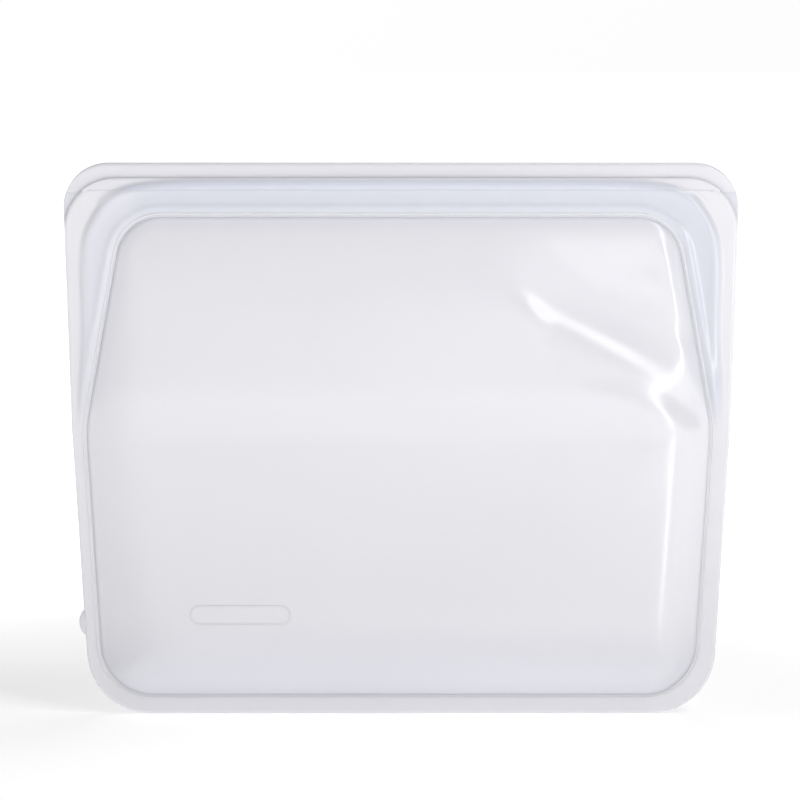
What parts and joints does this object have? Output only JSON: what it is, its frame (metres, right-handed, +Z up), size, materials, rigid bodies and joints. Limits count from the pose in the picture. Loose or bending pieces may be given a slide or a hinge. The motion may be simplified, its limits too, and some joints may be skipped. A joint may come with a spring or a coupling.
{
  "type": "reusable silicone bag",
  "caption": "Flat reusable silicone storage bag with soft pocket walls, bonded edges and a pinch-lock zip over the top and shoulders.",
  "frame": {"origin": "middle of the bottom edge, on the surface the bag stands on", "axes": "+X to the right seen from the front, -Y the front, +Z up towards the zip"},
  "size_m": [0.257, 0.03, 0.2116],
  "materials": {
    "wall_silicone": "satin frosted",
    "seam_silicone": "satin frosted",
    "bead_silicone": "satin frosted",
    "zip_silicone": "satin frosted",
    "lip_silicone": "satin frosted"
  },
  "bodies": {
    "pouch": {"bottom_seam": "seam_silicone", "left_seam": "seam_silicone", "right_seam": "seam_silicone", "front_wall": "wall_silicone", "rear_wall": "wall_silicone", "label_frame": "bead_silicone", "front_bead": "bead_silicone", "rear_bead": "bead_silicone", "edge_nub": "seam_silicone", "front_flex_band": "wall_silicone", "rear_flex_band": "wall_silicone"},
    "front_half": {"front_shoulder_wall": "wall_silicone", "front_track": "zip_silicone", "front_left_web": "zip_silicone", "front_right_web": "zip_silicone", "zip_rib": "zip_silicone"},
    "rear_half": {"rear_shoulder_wall": "wall_silicone", "rear_track": "zip_silicone", "rear_left_web": "zip_silicone", "rear_right_web": "zip_silicone"},
    "front_pull": {"front_lip": "lip_silicone"},
    "rear_pull": {"rear_lip": "lip_silicone"}
  },
  "joints": [
    {"name": "front_half_open", "type": "hinge", "parent": "pouch", "child": "front_half", "pos_m": [0, -0.002, 0.11], "axis": [1, 0, 0], "range_deg": [0, 25], "stiffness_Nm_per_rad": 0.1, "deforming": ["front_flex_band"]},
    {"name": "rear_half_open", "type": "hinge", "parent": "pouch", "child": "rear_half", "pos_m": [0, 0.002, 0.11], "axis": [-1, 0, 0], "range_deg": [0, 25], "stiffness_Nm_per_rad": 0.1, "deforming": ["rear_flex_band"]},
    {"name": "front_lip_bend", "type": "hinge", "parent": "front_half", "child": "front_pull", "pos_m": [0, -0.00135, 0.2015], "axis": [1, 0, 0], "range_deg": [0, 45], "stiffness_Nm_per_rad": 0.02},
    {"name": "rear_lip_bend", "type": "hinge", "parent": "rear_half", "child": "rear_pull", "pos_m": [0, 0.0016, 0.2015], "axis": [-1, 0, 0], "range_deg": [0, 45], "stiffness_Nm_per_rad": 0.02}
  ]
}
